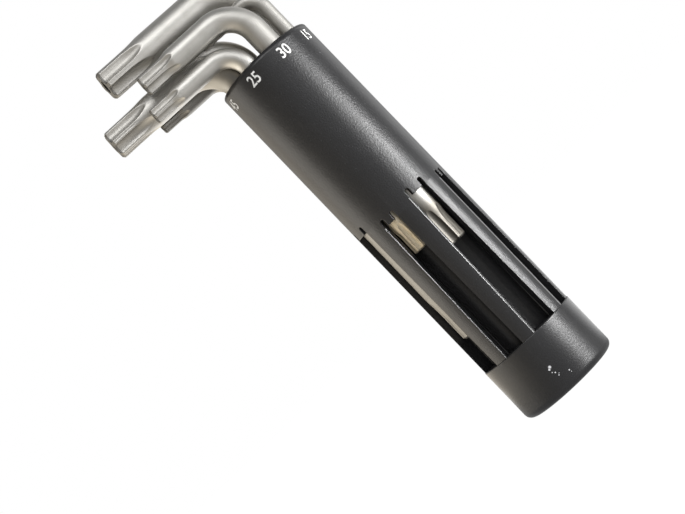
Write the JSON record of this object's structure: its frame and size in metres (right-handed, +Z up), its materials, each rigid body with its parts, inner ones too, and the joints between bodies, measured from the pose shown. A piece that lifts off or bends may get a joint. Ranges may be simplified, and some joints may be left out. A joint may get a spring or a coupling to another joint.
{
  "type": "star key set",
  "caption": "Bent star keys with drilled short tips hang by their long arms in the bores of a slotted round handle-case, each free to be pulled out for driving star-socket screws.",
  "frame": {"origin": "centre of the case's flat base, on the case's axis", "axes": "+Z up the case's axis from its base to its rim; -X the way that the short arms of the 25, 30 and 45 keys point; +Y away from the viewer of the slots of the 25 and 30 keys"},
  "size_m": [0.0546, 0.0272, 0.1331],
  "materials": {
    "case": "black moulded plastic, fine matte grain",
    "end_cap": "black moulded plastic, fine matte grain, lightly scuffed",
    "key_steel": "satin nickel-plated steel"
  },
  "bodies": {
    "case": {"case_body": "case", "end_cap": "end_cap"},
    "key_15": {"key_15": "key_steel"},
    "key_20": {"key_20": "key_steel"},
    "key_25": {"key_25": "key_steel"},
    "key_27": {"key_27": "key_steel"},
    "key_30": {"key_30": "key_steel"},
    "key_40": {"key_40": "key_steel"},
    "key_45": {"key_45": "key_steel"},
    "key_50": {"key_50": "key_steel"}
  },
  "joints": [
    {"name": "pull_20", "type": "slide", "parent": "case", "child": "key_20", "axis": [0, 0, 1], "range_m": [0, 0.0579]},
    {"name": "pull_25", "type": "slide", "parent": "case", "child": "key_25", "axis": [0, 0, 1], "range_m": [0, 0.0595]},
    {"name": "pull_30", "type": "slide", "parent": "key_25", "child": "key_30", "axis": [0, 0, 1], "range_m": [0, 0.0639]},
    {"name": "pull_40", "type": "slide", "parent": "key_20", "child": "key_40", "axis": [0, 0, 1], "range_m": [0, 0.0724]},
    {"name": "pull_27", "type": "slide", "parent": "key_40", "child": "key_27", "axis": [0, 0, 1], "range_m": [0, 0.0525]},
    {"name": "pull_45", "type": "slide", "parent": "key_20", "child": "key_45", "axis": [0, 0, 1], "range_m": [0, 0.0826]},
    {"name": "pull_15", "type": "slide", "parent": "key_45", "child": "key_15", "axis": [0, 0, 1], "range_m": [0, 0.0412]},
    {"name": "pull_50", "type": "slide", "parent": "key_15", "child": "key_50", "axis": [0, 0, 1], "range_m": [0, 0.0795]}
  ]
}
